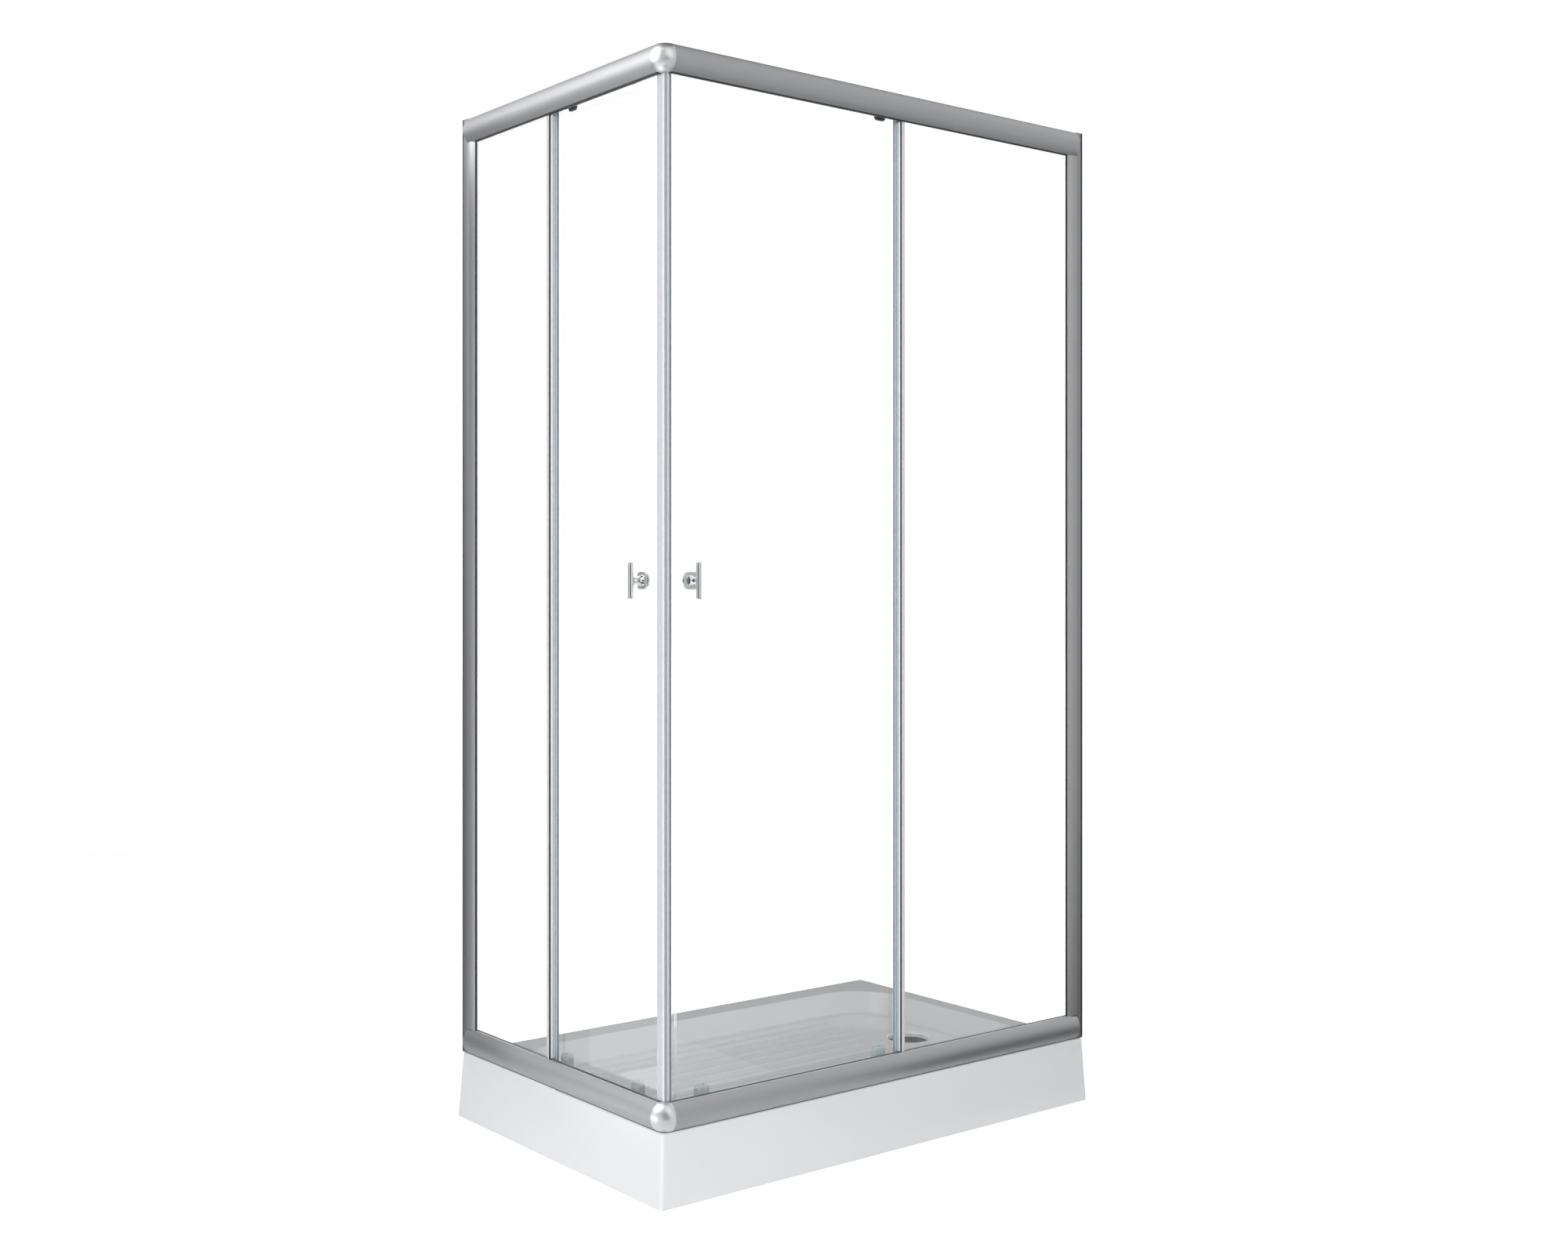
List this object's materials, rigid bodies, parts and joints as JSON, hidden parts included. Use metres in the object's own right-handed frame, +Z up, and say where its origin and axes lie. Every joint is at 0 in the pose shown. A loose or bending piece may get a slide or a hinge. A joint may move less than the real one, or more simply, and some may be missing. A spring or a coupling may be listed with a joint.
{
  "type": "corner entry shower enclosure",
  "caption": "Corner entry shower enclosure: sliding glass doors in curved silver rails, fixed side panes, and a ribbed white tray with a sloped skirt and an open waste hole.",
  "frame": {"origin": "middle of the footprint on the floor, under the feet", "axes": "+Z up, +X along the long side towards its wall, +Y along the short side towards its wall; the entry corner is at -X -Y"},
  "size_m": [1.11, 0.74, 2.082],
  "materials": {
    "acrylic": "glossy white sanitary acrylic",
    "board": "raw resin coated chipboard",
    "zinc_steel": "zinc plated steel",
    "foot_plastic": "black moulded plastic",
    "aluminium": "matt silver anodised extrusion",
    "connector_gloss": "glossy satin-silver plated moulding",
    "clear_glass": "clear toughened glass",
    "black_rubber": "black glazing rubber",
    "base_rubber": "dark grey sealing strip",
    "edge_profile": "translucent grey edge profile",
    "magnet_seal": "light grey magnetic seal",
    "chrome": "polished chrome plate",
    "carrier_plastic": "dark grey moulded nylon",
    "guide_plastic": "grey translucent moulding",
    "plunger_plastic": "light grey acetal",
    "wheel_nylon": "white nylon",
    "stainless": "stainless steel",
    "spring_steel": "spring wire"
  },
  "bodies": {
    "enclosure": {"shower_tray": "acrylic", "tray_base_board": "board", "tray_support_bars": "zinc_steel", "tray_foot_studs": "zinc_steel", "tray_foot_nuts": "zinc_steel", "tray_foot_pads": "foot_plastic", "frame_base_seals": "base_rubber", "top_rail_seals": "black_rubber", "fixed_glass_gaskets": "black_rubber", "fixed_glass_edge_strips": "edge_profile", "track_stops": "black_rubber", "frame_screws": "stainless", "top_corner_connector": "connector_gloss", "bottom_corner_connector": "connector_gloss", "long_top_rail": "aluminium", "long_bottom_rail": "aluminium", "long_wall_channel": "aluminium", "long_wall_jamb": "aluminium", "long_fixed_glass": "clear_glass", "short_top_rail": "aluminium", "short_bottom_rail": "aluminium", "short_wall_channel": "aluminium", "short_wall_jamb": "aluminium", "short_fixed_glass": "clear_glass"},
    "long_door": {"long_door_glass": "clear_glass", "long_door_magnet_seal": "magnet_seal", "long_door_rear_seal": "edge_profile", "long_handle_grip": "chrome", "long_handle_base": "chrome", "long_handle_back_plate": "chrome", "long_top_carriers": "carrier_plastic", "long_top_axles": "stainless", "long_lower_housings": "guide_plastic", "long_glass_bolts": "stainless", "long_front_release_spring": "spring_steel", "long_rear_release_spring": "spring_steel"},
    "long_front_top_wheel": {"long_front_top_wheel": "wheel_nylon"},
    "long_front_release_plunger": {"long_front_release_plunger": "plunger_plastic"},
    "long_front_lower_wheel": {"long_front_lower_wheel": "wheel_nylon"},
    "long_rear_top_wheel": {"long_rear_top_wheel": "wheel_nylon"},
    "long_rear_release_plunger": {"long_rear_release_plunger": "plunger_plastic"},
    "long_rear_lower_wheel": {"long_rear_lower_wheel": "wheel_nylon"},
    "short_door": {"short_door_glass": "clear_glass", "short_door_magnet_seal": "magnet_seal", "short_door_rear_seal": "edge_profile", "short_handle_grip": "chrome", "short_handle_base": "chrome", "short_handle_back_plate": "chrome", "short_top_carriers": "carrier_plastic", "short_top_axles": "stainless", "short_lower_housings": "guide_plastic", "short_glass_bolts": "stainless", "short_front_release_spring": "spring_steel", "short_rear_release_spring": "spring_steel"},
    "short_front_top_wheel": {"short_front_top_wheel": "wheel_nylon"},
    "short_front_release_plunger": {"short_front_release_plunger": "plunger_plastic"},
    "short_front_lower_wheel": {"short_front_lower_wheel": "wheel_nylon"},
    "short_rear_top_wheel": {"short_rear_top_wheel": "wheel_nylon"},
    "short_rear_release_plunger": {"short_rear_release_plunger": "plunger_plastic"},
    "short_rear_lower_wheel": {"short_rear_lower_wheel": "wheel_nylon"}
  },
  "joints": [
    {"name": "long_door_slide", "type": "slide", "parent": "enclosure", "child": "long_door", "axis": [1, 0, 0], "range_m": [0, 0.45]},
    {"name": "long_front_top_wheel_spin", "type": "hinge", "parent": "long_door", "child": "long_front_top_wheel", "pos_m": [-0.433, -0.3245, 2.06403], "axis": [0, 1, 0], "range_deg": [-5, 2593]},
    {"name": "long_front_release_press", "type": "slide", "parent": "long_door", "child": "long_front_release_plunger", "axis": [0, 0, -1], "range_m": [0, 0.004], "stiffness_N_per_m": 900, "springref_m": -0.003, "deforming": ["long_front_release_spring"]},
    {"name": "long_front_lower_wheel_spin", "type": "hinge", "parent": "long_front_release_plunger", "child": "long_front_lower_wheel", "pos_m": [-0.433, -0.3335, 0.15047], "axis": [0, 1, 0], "range_deg": [-3453, 5]},
    {"name": "long_rear_top_wheel_spin", "type": "hinge", "parent": "long_door", "child": "long_rear_top_wheel", "pos_m": [-0.008, -0.3245, 2.06403], "axis": [0, 1, 0], "range_deg": [-5, 2593]},
    {"name": "long_rear_release_press", "type": "slide", "parent": "long_door", "child": "long_rear_release_plunger", "axis": [0, 0, -1], "range_m": [0, 0.004], "stiffness_N_per_m": 900, "springref_m": -0.003, "deforming": ["long_rear_release_spring"]},
    {"name": "long_rear_lower_wheel_spin", "type": "hinge", "parent": "long_rear_release_plunger", "child": "long_rear_lower_wheel", "pos_m": [-0.001, -0.3335, 0.15047], "axis": [0, 1, 0], "range_deg": [-3453, 5]},
    {"name": "short_door_slide", "type": "slide", "parent": "enclosure", "child": "short_door", "axis": [0, 1, 0], "range_m": [0, 0.263]},
    {"name": "short_front_top_wheel_spin", "type": "hinge", "parent": "short_door", "child": "short_front_top_wheel", "pos_m": [-0.5095, -0.233, 2.06403], "axis": [-1, 0, 0], "range_deg": [-5, 1522]},
    {"name": "short_front_release_press", "type": "slide", "parent": "short_door", "child": "short_front_release_plunger", "axis": [0, 0, -1], "range_m": [0, 0.004], "stiffness_N_per_m": 900, "springref_m": -0.003, "deforming": ["short_front_release_spring"]},
    {"name": "short_front_lower_wheel_spin", "type": "hinge", "parent": "short_front_release_plunger", "child": "short_front_lower_wheel", "pos_m": [-0.5185, -0.233, 0.15047], "axis": [-1, 0, 0], "range_deg": [-2024, 5]},
    {"name": "short_rear_top_wheel_spin", "type": "hinge", "parent": "short_door", "child": "short_rear_top_wheel", "pos_m": [-0.5095, -0.025, 2.06403], "axis": [-1, 0, 0], "range_deg": [-5, 1522]},
    {"name": "short_rear_release_press", "type": "slide", "parent": "short_door", "child": "short_rear_release_plunger", "axis": [0, 0, -1], "range_m": [0, 0.004], "stiffness_N_per_m": 900, "springref_m": -0.003, "deforming": ["short_rear_release_spring"]},
    {"name": "short_rear_lower_wheel_spin", "type": "hinge", "parent": "short_rear_release_plunger", "child": "short_rear_lower_wheel", "pos_m": [-0.5185, 0.013, 0.15047], "axis": [-1, 0, 0], "range_deg": [-2024, 5]}
  ],
  "couplings": [
    {"joint": "long_front_top_wheel_spin", "follows": "long_door_slide", "rad_per_m": 100},
    {"joint": "long_front_lower_wheel_spin", "follows": "long_door_slide", "rad_per_m": -133.33},
    {"joint": "long_rear_top_wheel_spin", "follows": "long_door_slide", "rad_per_m": 100},
    {"joint": "long_rear_lower_wheel_spin", "follows": "long_door_slide", "rad_per_m": -133.33},
    {"joint": "short_front_top_wheel_spin", "follows": "short_door_slide", "rad_per_m": 100},
    {"joint": "short_front_lower_wheel_spin", "follows": "short_door_slide", "rad_per_m": -133.33},
    {"joint": "short_rear_top_wheel_spin", "follows": "short_door_slide", "rad_per_m": 100},
    {"joint": "short_rear_lower_wheel_spin", "follows": "short_door_slide", "rad_per_m": -133.33}
  ]
}
